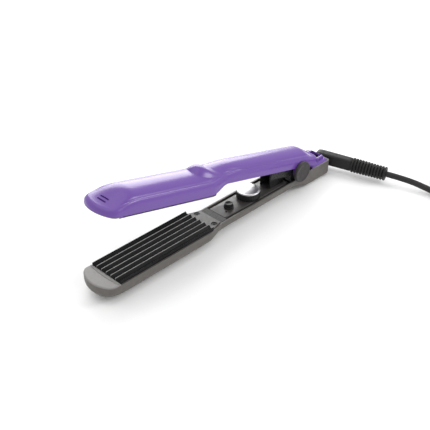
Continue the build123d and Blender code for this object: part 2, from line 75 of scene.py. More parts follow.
# The nose's plan is an arc through the tip and the two points NOSE_SAG behind it at the full width,
# joined to the sides by arcs of NOSE_BLEND, whose centres lie NOSE_OFFSET in front of the arc's own.
NOSE_SAG = 8
NOSE_BLEND = 9
NOSE_ARC = (HEAD_HALF ** 2 + NOSE_SAG ** 2) / (2 * NOSE_SAG)
NOSE_OFFSET = math.sqrt((NOSE_ARC - NOSE_BLEND) ** 2 - (HEAD_HALF - NOSE_BLEND) ** 2)
NOSE_MEET = math.atan2(HEAD_HALF - NOSE_BLEND, -NOSE_OFFSET)


# ---------------------------------------------------------------- shape rules

def ease(x, start, end):
    """Smooth step: 0 before start, 1 after end, and 3t^2 - 2t^3 of the share t between them."""
    t = np.clip((np.asarray(x, float) - start) / (end - start), 0, 1)
    return t * t * (3 - 2 * t)


def nose_rise(x, depth, reach=26.0):
    """How far the underside rises towards the nose: depth times the square of the share of the reach."""
    t = np.clip((NOSE_X + reach - x) / reach, 0, 1)
    return depth * t * t


def nose_drop(x, depth):
    """How far the crown falls towards the nose: depth times a smooth step that ends just past the tip."""
    return depth * ease(-np.asarray(x, float), 124, 160)


def upper_half(x):
    """Half width of the upper arm: the head's, less 4 mm over the step to the neck."""
    return HEAD_HALF - 4.0 * ease(x, *STEP)


def lower_half(x):
    """Half width of the lower arm: the head's, less 5.2 mm over the step to the neck."""
    return HEAD_HALF - 5.2 * ease(x, *STEP)


def upper_rim(x):
    """Height of the upper shell's rim on the closed arm: it rises over the step, clear of the controls."""
    return 23.4 + 6.8 * ease(x, *STEP)


def lower_rim(x):
    """Height of the lower case's rim: it dips along the neck and comes back behind the hinge."""
    return 18.0 - 1.4 * ease(x, *STEP) + 1.4 * ease(x, *TAIL)


def arch(y, half, shoulder, crown):
    """Height of a circular arch that stands on the shoulders at half and reaches the crown at the middle."""
    sag = crown - shoulder
    radius = (half * half + sag * sag) / (2 * sag)
    return crown - radius + np.sqrt(np.maximum(radius * radius - np.minimum(np.abs(y), half) ** 2, 0))


def upper_top(x, y):
    """The upper arm's outside: an arch whose shoulder and crown rise at the neck and fall at both ends."""
    shoulder = 33.1 + 4.9 * ease(x, -33, 8) - nose_drop(x, 4.8)
    crown = 41.2 + 4.2 * ease(x, -47, 8) - nose_drop(x, 12.3) - 6.0 * ease(x, 111, 125)
    return arch(y, upper_half(x), shoulder, crown)


def lower_depth(x, y):
    """The lower arm's belly, measured downwards, so that it is built as an upper one and turned over."""
    shoulder = -(9.0 + 2.0 * ease(x, *STEP) - 9.5 * ease(x, *TAIL) + nose_rise(x, 3.0))
    belly = 0.6 - (3.0 * ease(x, -33, 0) - 3.0 * ease(x, *TAIL) + nose_rise(x, 8.5))
    return np.minimum(arch(y, lower_half(x), shoulder, belly), 0.0)


def thumb_fin(x, y, height):
    """Crescent thumb rest: a quarter sine from its foot line up to its crest, then a smooth step down.

    Both lines bend back with a power of the distance from the middle, and the height fades to the sides."""
    a = np.abs(y)
    foot = -45.5 + 3.2 * (a / 9.3) ** 3.8
    crest = np.maximum(-38 + 2 * (a / 5) ** 1.6, foot + 1.0)
    tall = height * np.clip(1 - (a / 13.6) ** 2, 0, 1) ** 0.8
    front = np.sin(np.clip((x - foot) / (crest - foot), 0, 1) * math.pi / 2) ** 0.85
    return tall * front * (1 - ease(x, crest + 0.4, crest + 13))


def neck_groove(x, y, depth):
    """Shallow groove along each side of the neck's crown: a dip across its line, fading to the rear."""
    line = 10.3 + 4.6 * np.exp(-(np.maximum(x, -22) + 22) / 4) + np.clip(0.12 * (x + 8), 0, 2.6)
    dip = np.exp(-((np.abs(y) - line) / 0.55) ** 2)
    return -depth * dip * ease(x, -24, -20) * (1 - ease(x, 30, 90))


def shoulder_bead(inward, depth):
    """Raised line along the shoulder: a low bead over its edge and a hollow just inside it."""
    bead = np.exp(-((inward - 2.0) / 0.7) ** 2)
    hollow = np.exp(-((inward - 4.0) / 1.0) ** 2)
    return depth * (bead - 0.9 * hollow)


def swing(points):
    """Turns points of the closed upper arm about the hinge line by the open angle."""
    p = np.array(points, float)
    dx, dz = p[..., 0] - HINGE_X, p[..., 2] - HINGE_Z
    c, s = math.cos(OPEN_ANGLE), math.sin(OPEN_ANGLE)
    return np.stack([HINGE_X + dx * c + dz * s, p[..., 1], HINGE_Z - dx * s + dz * c], -1)


# ---------------------------------------------------------------- mesh making

def grid_faces(nu, nv, first, wrap_u, wrap_v):
    """Quads of a grid of nu rows and nv columns whose points start at number first."""
    i = np.arange(nu if wrap_u else nu - 1)
    j = np.arange(nv if wrap_v else nv - 1)
    i, j = (a.ravel() for a in np.meshgrid(i, j, indexing="ij"))
    i2, j2 = (i + 1) % nu, (j + 1) % nv
    return first + np.stack([i * nv + j, i2 * nv + j, i2 * nv + j2, i * nv + j2], 1)


def solid(name, grids, highlight_mark=None):
    """An object from grids of points in millimetres, each (points, wrap_u, wrap_v), with its painted
    highlight mark.

    Points that coincide are merged, so poles and seams close, and the faces are turned outwards."""
    points, faces, count = [], [], 0
    for grid, wrap_u, wrap_v in grids:
        grid = np.asarray(grid, float)
        points.append(grid.reshape(-1, 3))
        faces.append(grid_faces(grid.shape[0], grid.shape[1], count, wrap_u, wrap_v))
        count += grid.shape[0] * grid.shape[1]
    mesh = bpy.data.meshes.new(name)
    mesh.from_pydata(np.concatenate(points) * MM, [], np.concatenate(faces))
    if highlight_mark is not None:
        mark = mesh.attributes.new("highlight_mark", "FLOAT", "POINT")
        mark.data.foreach_set("value", np.asarray(highlight_mark, np.float32).ravel())
    work = bmesh.new()
    work.from_mesh(mesh)
    bmesh.ops.remove_doubles(work, verts=work.verts, dist=MERGE)
    bmesh.ops.recalc_face_normals(work, faces=work.faces)
    work.to_mesh(mesh)
    work.free()
    made = bpy.data.objects.new(name, mesh)
    bpy.context.scene.collection.objects.link(made)
    return made


def shade_smooth(mesh, sharp):
    """Smooth shading, with the edges steeper than the sharp angle, in degrees, left crisp."""
    mesh.polygons.foreach_set("use_smooth", np.ones(len(mesh.polygons), bool))
    mesh.set_sharp_from_angle(angle=math.radians(sharp))


def surface(name, grids, material, body, replaces=(), sharp=38, highlight_mark=None):
    """One visible piece: a solid of grids with its material, on its body, in place of the nodes named."""
    piece = solid(name, grids, highlight_mark)
    shade_smooth(piece.data, sharp)
    piece.data.materials.append(material)
    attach(piece, body)
    if replaces:
        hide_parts(*replaces)
    return piece


def cut(piece, grids):
    """Takes the solids of the grids out of a piece and puts the result into its mesh."""
    tools = [solid("slit", [grid]) for grid in grids]
    for tool in tools:
        hole = piece.modifiers.new("hole", "BOOLEAN")
        hole.operation = "DIFFERENCE"
        hole.solver = "EXACT"
        hole.object = tool
    shaped = piece.evaluated_get(bpy.context.evaluated_depsgraph_get())
    mesh = bpy.data.meshes.new_from_object(shaped)
    piece.modifiers.clear()
    piece.data = mesh
    for tool in tools:
        bpy.data.objects.remove(tool)


def lathe(profile, centre, axis="Z", steps=72, ripple=None):
    """Profile of (radius, height) pairs turned about an axis; ripple scales the radius by angle."""
    profile = np.array(profile, float)
    angle = np.linspace(0, 2 * math.pi, steps, endpoint=False)
    r, h = profile[:, 0][None, :], profile[:, 1][None, :]
    swell = np.ones((steps, profile.shape[0])) if ripple is None else ripple(angle[:, None], h)
    a, b = r * swell * np.cos(angle)[:, None], r * swell * np.sin(angle)[:, None]
    h = np.broadcast_to(h, a.shape)
    order = {"Z": (a, b, h), "Y": (a, h, b), "X": (h, a, b)}[axis]
    return np.stack(order, -1) + np.asarray(centre, float), True, False


def rounded_rectangle(half_x, half_y, radius, steps=6):
    """Closed outline of a rectangle with quarter-circle corners."""
    turn = np.linspace(0, math.pi / 2, steps)
    corners = []
    for k, (sx, sy) in enumerate(((1, 1), (-1, 1), (-1, -1), (1, -1))):
        a = turn + k * math.pi / 2
        corners.append(np.stack([sx * (half_x - radius) + radius * np.cos(a),
                                 sy * (half_y - radius) + radius * np.sin(a)], -1))
    return np.concatenate(corners)


def inset_loop(loop, amount):
    """A closed outline moved inwards along the normals at its points; the outline runs anticlockwise."""
    run = np.roll(loop, -1, 0) - np.roll(loop, 1, 0)
    run /= np.linalg.norm(run, axis=1, keepdims=True) + 1e-12
    return loop + amount * np.stack([-run[:, 1], run[:, 0]], -1)


def capped(rows):
    """A grid of a stack of outlines whose first and last are each drawn together into their middle."""
    foot, head = (np.tile(row.mean(0), (len(row), 1)) for row in (rows[0], rows[-1]))
    return np.stack([foot, *rows, head]), False, True


def slab(loop, levels):
    """Stack of one outline at levels of (inset, height), from the underside to the top."""
    rows = []
    for inset, height in levels:
        flat = inset_loop(loop, inset)
        rows.append(np.column_stack([flat, np.full(len(flat), height)]))
    return capped(rows)


def soft_slab(half_x, half_y, corner, low, high, edge):
    """Rounded rectangular slab whose upper edge is a quarter circle of the given radius."""
    turn = np.linspace(0, math.pi / 2, 5)
    levels = [(0.0, low)] + [(edge * (1 - math.cos(t)), high - edge * (1 - math.sin(t))) for t in turn]
    return slab(rounded_rectangle(half_x, half_y, corner), levels)


def pierced_slab(outer, hole, low, high, edge=0.35):
    """Slab with a hole: up the outer wall, over a small slope to the top, and down the wall of the hole."""
    rows = []
    way = ((outer, 0, low), (outer, 0, high - edge), (outer, edge, high),
           (hole, -edge, high), (hole, 0, high - edge), (hole, 0, low), (outer, 0, low))
    for loop, inset, height in way:
        flat = inset_loop(loop, inset)
        rows.append(np.column_stack([flat, np.full(len(flat), height)]))
    return np.stack(rows), False, True


def placed(grid, origin, x_dir, y_dir, z_dir):
    """A grid moved so that its axes lie along the three directions given, from the origin given."""
    points, wrap_u, wrap_v = grid
    axes = np.array([x_dir, y_dir, z_dir], float)
    return points @ axes + np.asarray(origin, float), wrap_u, wrap_v


def shift(grid, x=0.0, y=0.0, z=0.0):
    """A grid moved along the axes."""
    return grid[0] + (x, y, z), grid[1], grid[2]


def swung(grid):
    """A grid of the closed upper arm, opened."""
    return swing(grid[0]), grid[1], grid[2]


def on_side(grid, side):
    """A grid made about +Z turned to stand on the arm's side, its +Z pointing outwards along the width."""
    return placed(grid, (0, 0, 0), (1, 0, 0), (0, 0, 1), (0, side, 0))


# ---------------------------------------------------------------- finishes

def add_node(tree, kind, **sockets):
    """A new node with its unlinked inputs set; a name that starts with p_ sets a property instead."""
    node = tree.nodes.new(kind)
    for key, value in sockets.items():
        if key.startswith("p_"):
            setattr(node, key[2:], value)
        else:
            node.inputs[key.replace("_", " ")].default_value = value
    return node


def finish(name, colour, rough=0.4, metallic=0.0, grain=0.5, depth=0.1, mottle=0.06, patch=8.0,
           streak=(1, 1, 1), spread=0.25, clear=0.0, painted_highlight=None, dots=False, ior=1.5, fine=5.0):
    """A moulded, painted or metal finish.

    Base colour: patches of the given size (mm) between two shades of the colour, mottle apart. Roughness:
    finer noise round its middle value, spread either way. Bump: grain of the given size (mm), as noise of
    fine octaves or as round pimples (dots), drawn out along an axis where streak is below one. Clear: the
    share of light let through. Painted highlight: another colour, painted in as a highlight where the
    piece's highlight mark is one."""
    material = bpy.data.materials.new(name)
    material.use_nodes = True
    tree = material.node_tree
    shader = tree.nodes["Principled BSDF"]
    shader.inputs["Metallic"].default_value = metallic
    shader.inputs["IOR"].default_value = ior
    shader.inputs["Transmission Weight"].default_value = clear
    place = add_node(tree, "ShaderNodeTexCoord")
    drawn = add_node(tree, "ShaderNodeMapping", Scale=streak)
    tree.links.new(place.outputs["Object"], drawn.inputs["Vector"])

    def noise(size, detail):
        """Noise with patches of about the given size, in millimetres."""
        made = add_node(tree, "ShaderNodeTexNoise", Scale=1 / (size * MM), Detail=detail, Roughness=0.55)
        tree.links.new(drawn.outputs["Vector"], made.inputs["Vector"])
        return made.outputs["Fac"]

    base = np.array(colour)
    shade = add_node(tree, "ShaderNodeMix", p_data_type="RGBA")
    shade.inputs[6].default_value = (*np.clip(base * (1 - mottle), 0, 1), 1)
    shade.inputs[7].default_value = (*np.clip(base * (1 + mottle) + 0.1 * mottle, 0, 1), 1)
    tree.links.new(noise(patch, 4.0), shade.inputs[0])
    tint = shade.outputs[2]
    gloss = add_node(tree, "ShaderNodeMapRange", From_Min=0.3, From_Max=0.7,
                     To_Min=max(rough * (1 - spread), 0.02), To_Max=min(rough * (1 + spread), 1.0))
    tree.links.new(noise(max(patch * 0.3, grain), 3.0), gloss.inputs["Value"])
    # Painted highlight: a lighter colour mixed over the base where the piece's highlight mark is one, broken
    # up by noise.
    if painted_highlight is not None:
        mark = add_node(tree, "ShaderNodeAttribute", p_attribute_name="highlight_mark")
        highlight_mix = add_node(tree, "ShaderNodeMix", p_data_type="RGBA")
        highlight_mix.inputs[7].default_value = (*painted_highlight, 1)
        broken = add_node(tree, "ShaderNodeMath", p_operation="MULTIPLY_ADD")
        tree.links.new(noise(1.4, 2.0), broken.inputs[0])
        broken.inputs[1].default_value = 0.9
        broken.inputs[2].default_value = 0.5
        amount = add_node(tree, "ShaderNodeMath", p_operation="MULTIPLY", p_use_clamp=True)
        tree.links.new(mark.outputs["Fac"], amount.inputs[0])
        tree.links.new(broken.outputs[0], amount.inputs[1])
        tree.links.new(amount.outputs[0], highlight_mix.inputs[0])
        tree.links.new(tint, highlight_mix.inputs[6])
        tint = highlight_mix.outputs[2]
    tree.links.new(tint, shader.inputs["Base Color"])
    tree.links.new(gloss.outputs["Result"], shader.inputs["Roughness"])
    bump = add_node(tree, "ShaderNodeBump", Strength=depth, Distance=0.2 * MM)
    if dots:
        cells = add_node(tree, "ShaderNodeTexVoronoi", Scale=1 / (grain * MM), p_feature="SMOOTH_F1")
        tree.links.new(drawn.outputs["Vector"], cells.inputs["Vector"])
        tree.links.new(cells.outputs["Distance"], bump.inputs["Height"])
    else:
        tree.links.new(noise(grain, fine), bump.inputs["Height"])
    tree.links.new(bump.outputs["Normal"], shader.inputs["Normal"])
    return material


finishes = {}


def make_finishes(hues):
    """Every finish of the crimper, by the name of its record slot or of its use."""
    finishes.update(
        purple=finish("purple_gloss", hues.shell, 0.24, grain=9, depth=0.02, mottle=0.03, patch=60,
                      spread=0.05, fine=1.0),
        grey=finish("grey_satin", hues.lower_case, 0.5, grain=0.35, depth=0.16, mottle=0.05, patch=14,
                    dots=True),
        tip=finish("light_grey_tip", hues.tip, 0.46, grain=0.35, depth=0.12, mottle=0.04, patch=9, dots=True),
        trim=finish("grey_trim", hues.trim, 0.42, grain=0.4, depth=0.1, mottle=0.05, patch=10),
        panel=finish("panel_taupe", hues.panel, 0.38, grain=0.5, depth=0.08, mottle=0.05, patch=12),
        black=finish("black_plastic", hues.black, 0.3, grain=0.5, depth=0.08, mottle=0.2, patch=8, ior=1.25),
        rubber=finish("black_rubber", hues.rubber, 0.5, grain=0.3, depth=0.2, mottle=0.15, patch=6,
                      dots=True, ior=1.3),
        cord=finish("cord_black", hues.cord, 0.45, grain=0.5, depth=0.2, mottle=0.15, patch=5, ior=1.35),
        # The plates' light crest lines are a painted highlight, in the colour given here.
        plate=finish("plate_black", hues.plate, 0.26, grain=0.25, depth=0.12, mottle=0.25, patch=3,
                     painted_highlight=(0.6, 0.59, 0.58), streak=(0.2, 1, 1), ior=1.12),
        chrome=finish("chrome_cap", hues.chrome, 0.36, 1.0, grain=0.6, depth=0.03, mottle=0.03, patch=6),
        steel=finish("steel_pin", (0.56, 0.55, 0.53), 0.3, 1.0, grain=0.4, depth=0.15, streak=(1, 0.1, 1)),
        spring=finish("spring_steel", (0.42, 0.41, 0.4), 0.35, 1.0, grain=0.3, depth=0.15),
        screw=finish("black_screw", (0.01, 0.01, 0.01), 0.38, grain=0.3, depth=0.15, mottle=0.2, patch=2,
                     ior=1.3),
        cap=finish("cap_grey", hues.hinge_cap, 0.52, grain=0.4, depth=0.14, mottle=0.06, patch=6,
                   dots=True, ior=1.35),
        lens=finish("red_lens", (0.06, 0.004, 0.004), 0.12, grain=1.5, depth=0.05, clear=0.4, patch=2),
        ceramic=finish("ceramic_white", (0.78, 0.76, 0.72), 0.6, grain=0.4, depth=0.2, mottle=0.04, patch=5),
        mica=finish("carrier_brown", (0.2, 0.13, 0.07), 0.6, grain=0.8, depth=0.2, mottle=0.2, patch=6),
        board=finish("board_green", (0.02, 0.16, 0.06), 0.35, grain=1.2, depth=0.15, mottle=0.25, patch=4),
        blue=finish("potentiometer_blue", (0.03, 0.09, 0.3), 0.4, grain=0.5, depth=0.1, patch=4),
        wire=finish("lead_red", (0.4, 0.05, 0.04), 0.45, grain=0.6, depth=0.1, patch=4),
        nylon=finish("nylon_white", (0.72, 0.7, 0.64), 0.5, grain=0.5, depth=0.08, mottle=0.04, patch=4),
        tie=finish("tie_black", (0.02, 0.02, 0.02), 0.5, grain=0.5, depth=0.2, mottle=0.2, patch=3),
        brass=finish("brass_pins", (0.72, 0.56, 0.28), 0.25, 1.0, grain=0.5, depth=0.1, streak=(1, 0.1, 1)),
    )


# ---------------------------------------------------------------- shells

def half_outline(half, end_x, corner, stations):
    """Half plan of an arm: the nose's arc and its blend, then the half width at each station down the
    side, and a quarter circle of the corner radius round to the rear's middle."""
    a = np.linspace(math.pi, NOSE_MEET, 14, endpoint=False)
    nose = np.stack([NOSE_X + NOSE_ARC + NOSE_ARC * np.cos(a), NOSE_ARC * np.sin(a)], -1)
    a = np.linspace(NOSE_MEET, math.pi / 2, 12, endpoint=False)
    blend = np.stack([NOSE_X + NOSE_ARC - NOSE_OFFSET + NOSE_BLEND * np.cos(a),
                      HEAD_HALF - NOSE_BLEND + NOSE_BLEND * np.sin(a)], -1)
    side = np.stack([stations, half(stations)], -1)
    a = np.linspace(math.pi / 2, 0, 8)
    end_half = float(half(end_x))
    rear = np.stack([end_x - corner + corner * np.cos(a), end_half - corner + corner * np.sin(a)], -1)
    back = np.linspace(end_half - corner, 0, 8)[1:]
    return np.concatenate([nose, blend, side, rear, np.stack([np.full(7, end_x), back], -1)])


def arm_shell(half, rim, top, end_x, corner, stations, edge, nose_edge, relief=None):
    """Closed shell of an arm, the outside and the inside as one surface.

    Each point of the plan outline is joined to a spine along the middle. Along that line the outside goes
    up the wall, round a quarter circle, and over the top's height field plus its relief; the inside is the
    same line set in by the wall. The two meet in a flat rim. The quarter circle's radius is the edge's
    along the sides and eases to nose_edge at the nose."""
    near = half_outline(half, end_x, corner, stations)
    loop = np.concatenate([near, (near * (1, -1))[-2:0:-1]])
    run = np.roll(loop, -1, 0) - np.roll(loop, 1, 0)
    run /= np.linalg.norm(run, axis=1, keepdims=True)
    inner = loop + WALL * np.stack([run[:, 1], -run[:, 0]], -1)
    inner = np.where(np.abs(loop[:, 1:]) < 1e-9, inner * (1, 0), inner)  # the middle line stays straight
    spine = np.stack([np.clip(loop[:, 0], NOSE_X + 17, end_x - 9), np.zeros(len(loop))], -1)
    reach = np.linalg.norm(spine - loop, axis=1)
    radius = edge + (nose_edge - edge) * (1 - ease(loop[:, 0], NOSE_X + 3, NOSE_X + 24))
    theta = np.linspace(0, math.pi / 2, 8)

    def rows(start, drop, relief):
        """From the rim to the spine, with the height field lowered by the drop."""
        r = radius - drop * 0.6
        made = []
        inward = [r * (1 - math.cos(t)) for t in theta]
        inward += [r + (reach - r) * k for k in np.linspace(0, 1, 30)[1:] ** 1.25]
        for d in inward:
            share = (d / reach)[:, None]
            flat = start + (spine - start) * share
            fall = r - np.sqrt(np.maximum(r ** 2 - np.clip(r - d, 0, None) ** 2, 0))
            z = top(flat[:, 0], flat[:, 1]) - drop - fall
            if relief:
                z = z + relief(flat[:, 0], flat[:, 1], d)
            made.append(np.column_stack([flat, z]))
        foot = np.column_stack([start, rim(start[:, 0])])
        lift = [foot + (made[0] - foot) * k for k in (0, 0.04, 0.5)]
        return lift + made

    outside = rows(loop, 0.0, relief)
    inside = rows(inner, WALL, None)
    return np.stack(outside[::-1] + inside), False, True


class CRIMPER_OT_shells(bpy.types.Operator):
    """Build the purple upper shell, with its thumb rest and vents, the grey lower case and the rear tray"""
    bl_idname = "crimper.shells"
    bl_label = "Shells"

    def execute(self, context):
        sizes = context.scene.crimper_sizes

        def relief(x, y, inward):
            """The thumb rest, the neck's grooves and the shoulder bead, which fades out at both ends."""
            bead = shoulder_bead(inward, sizes.bead_depth) * ease(x, -146, -134) * (1 - ease(x, 110, 118))
            return thumb_fin(x, y, sizes.fin_height) + neck_groove(x, y, sizes.groove_depth) + bead

        # The stations down the sides stand closest round the thumb rest and the step.
        stations = np.concatenate([np.linspace(NOSE_X + 12.5, -62, 50), np.linspace(-61, -18, 60),
                                   np.linspace(-17, 20, 38), np.linspace(22, TAIL_X - 4.2, 60)])
        grid = arm_shell(upper_half, upper_rim, upper_top, TAIL_X, 4.0, stations, 3.2, 3.8, relief)
        shell = surface("upper_shell", [swung(grid)], finishes["purple"], "upper_arm", ["upper_case"],
                        sharp=42)
        vent = slab(rounded_rectangle(0.7, 5.6, 0.65), [(0, 0), (0, 20)])
        cut(shell, [swung(shift(vent, x, 0, 26.5)) for x in (-145.6, -148.9)])
        shade_smooth(shell.data, 42)

        stations = np.concatenate([np.linspace(NOSE_X + 12.5, -36, 60), np.linspace(-35, 2, 38),
                                   np.linspace(4, 92, 40), np.linspace(93, 123, 31),
                                   np.linspace(125, REAR_X - 3.2, 14)])
        points, wrap_u, wrap_v = arm_shell(lower_half, lambda x: -lower_rim(x), lower_depth, REAR_X, 3.0,
                                           stations, 3.2, 4.2)
        surface("lower_shell", [(points * (1, 1, -1), wrap_u, wrap_v)], finishes["grey"], "lower_arm",
                ["lower_case"], sharp=42)

        # The ears are arcs round the hinge pin, with their two upper corners inside the shell.
        a = np.linspace(-0.35, math.pi + 0.35, 26)
        lug = np.stack([HINGE_X + 7.8 * np.cos(-a), HINGE_Z + 7.8 * np.sin(-a)], -1)
        lug = np.concatenate([lug, [[HINGE_X - 8.4, HINGE_Z + 8], [HINGE_X + 8.4, HINGE_Z + 8]]])[::-1]
        ear = slab(lug, [(0.3, 13), (0, 13.3), (0, 16.2), (0.3, 16.5)])
        surface("hinge_ears", [swung(on_side(ear, side)) for side in (-1, 1)], finishes["purple"],
                "upper_arm")

        outer = rounded_rectangle(12.9, 13.6, 1.0) + (140.0, 0.0)
        kerb = rounded_rectangle(6.0, 8.75, 1.2) + (146.5, 0.75)
        hole = rounded_rectangle(4.6, 6.4, 0.8) + (147.4, 1.4)
        surface("rear_tray", [pierced_slab(outer, hole, 17.0, 18.4), pierced_slab(kerb, hole, 17.2, 20.8)],
                finishes["purple"], "lower_arm", ["rear_cover"], sharp=50)
        # Painted shade: a black slab under the tray's hole that stands in for the shaded inside of the case.
        shade_slab = shift(soft_slab(6.0, 8.0, 1.0, 14.6, 15.4, 0.2), 147.0, 1.0)
        surface("tray_shade_slab", [shade_slab], finishes["black"], "lower_arm")
        return {"FINISHED"}


def tip_pad(level, lift, sign):
    """Nose pad: the arm's nose plan, cut off in front of the plate, with a soft upper edge and one groove.

    Height is the level plus the lift, less a quarter-circle fall near the outline, less a narrow dip along
    a shallow arc; the sign is 1 where the pad faces up and -1 where it faces down."""
    y = HEAD_HALF * np.sin(np.linspace(-math.pi / 2, math.pi / 2, 61))
    arc = NOSE_X + NOSE_ARC - np.sqrt(NOSE_ARC ** 2 - y ** 2)
    past = np.clip(np.abs(y) - HEAD_HALF + NOSE_BLEND, 0, None)
    blend = NOSE_X + NOSE_ARC - NOSE_OFFSET - np.sqrt(np.maximum(NOSE_BLEND ** 2 - past ** 2, 0))
    front = np.where(np.abs(y) > NOSE_ARC * math.sin(NOSE_MEET), blend, arc)
    back = PLATE_FRONT - 0.2
    share = np.concatenate([[0, 0.004, 0.015, 0.035, 0.065, 0.1], np.linspace(0.15, 1, 44)])
    inset = 0.06
    x = front[None, :] + inset + (back - front[None, :] - inset) * share[:, None]
    wide = np.broadcast_to(y * (HEAD_HALF - inset) / HEAD_HALF, x.shape)
    inward = np.minimum(x - front[None, :], HEAD_HALF - np.abs(wide))
    edge = 1.1
    fall = edge - np.sqrt(np.maximum(edge ** 2 - np.clip(edge - inward, 0, edge) ** 2, 0))
    groove = np.exp(-((x - (PLATE_FRONT - 3.6 + 0.004 * wide ** 2)) / 0.42) ** 2)
    z = level + sign * (lift - 0.9 * fall - 0.55 * groove)
    top = np.stack([x, wide, z], -1)
    under = np.stack([x, wide, np.full_like(x, level - sign * 0.02)], -1)
    return np.concatenate([under[::-1], top]), True, False


class CRIMPER_OT_tips(bpy.types.Operator):
    """Build the cool tips that close both arms in front of the plates"""
    bl_idname = "crimper.tips"
    bl_label = "Cool Tips"

    def execute(self, context):
        tips = (("lower_tip", tip_pad(18.03, 1.1, 1), "lower_arm", "lower_cool_tip"),
                ("upper_tip", swung(tip_pad(23.37, 0.9, -1)), "upper_arm", "upper_cool_tip"))
        for name, grid, body, node in tips:
            points = grid[0]
            grids = [grid]
            # A strip closes each side, from its two ends towards the middle.
            for line in (points[:, 0], points[:, -1]):
                half = len(line) // 2
                grids.append((np.stack([line[:half][::-1], line[half:]]), False, False))
            surface(name, grids, finishes["tip"], body, [node], sharp=50)
        return {"FINISHED"}


# ---------------------------------------------------------------- plates

def ridged_plate(level, back, count, depth, facing):
    """Ridged plate: a rounded zigzag across the width carried along the length, with eased ends.

    The zigzag is a triangle wave, zero at a crest and one in a valley, whose corners are short parabolas.
    The painted highlight mark is one at the crests and fades down the flanks; the plate's outermost edges
    have none."""
    per_ridge = 24
    soft = 0.09
    y = np.linspace(-PLATE_HALF, PLATE_HALF, count * per_ridge + 1)
    phase = (y + PLATE_HALF) / (2 * PLATE_HALF / count)
    away = np.abs(phase - np.round(phase)) * 2
    wave = np.where(away < soft, (away ** 2 + soft ** 2) / (2 * soft), away)
    wave = np.where(away > 1 - soft, 1 - ((1 - away) ** 2 + soft ** 2) / (2 * soft), wave)
    z = level - depth * wave
    # A painted highlight along each crest, standing in for the light that the crests catch.
    painted_highlight = np.exp(-((away if facing > 0 else 1 - away) / 0.07) ** 2)
    painted_highlight[[0, 1, 2, -3, -2, -1]] = 0
    ends = [(PLATE_FRONT, 0.5), (PLATE_FRONT + 0.15, 0.15), (PLATE_FRONT + 0.5, 0.0)]
    x_rows = ends + [(x, 0.0) for x in np.linspace(PLATE_FRONT + 6, PLATE_BACK - 6, 20)]
    x_rows += [(PLATE_BACK - 0.5, 0.0), (PLATE_BACK - 0.15, 0.15), (PLATE_BACK, 0.5)]
    rows, marks = [], []
    for x, fall in x_rows:
        line = np.column_stack([np.full(len(y), x), y, z - facing * fall])
        base = np.array([[x, PLATE_HALF, back], [x, -PLATE_HALF, back]])
        rows.append(np.concatenate([line, base]))
        marks.append(np.concatenate([painted_highlight * (1 if fall == 0 else 0.6), [0, 0]]))
    for k, at in ((0, 0), (-1, len(rows) + 1)):
        flat = rows[k].copy()
        flat[:, 2] = back
        rows.insert(at, flat)
        marks.insert(at, np.zeros(len(flat)))
    return (np.stack(rows), False, True), np.stack(marks)


class CRIMPER_OT_plates(bpy.types.Operator):
    """Build the two ridged plates, with a painted highlight along the crests"""
    bl_idname = "crimper.plates"
    bl_label = "Ridged Plates"

    def execute(self, context):
        sizes = context.scene.crimper_sizes
        depth = sizes.ridge_depth / MM
        grid, highlight_mark = ridged_plate(21.6, 15.0, sizes.ridge_count, depth, 1)
        surface("lower_ridges", [grid], finishes["plate"], "lower_arm", ["lower_plate"],
                sharp=60, highlight_mark=highlight_mark)
        # Closed, the upper plate's ridges mesh with the lower one's, half a millimetre above them.
        grid, highlight_mark = ridged_plate(22.1, 27.5, sizes.ridge_count, depth, -1)
        surface("upper_ridges", [swung(grid)], finishes["plate"], "upper_arm", ["upper_plate"],
                sharp=60, highlight_mark=highlight_mark)
        return {"FINISHED"}


# ---------------------------------------------------------------- controls

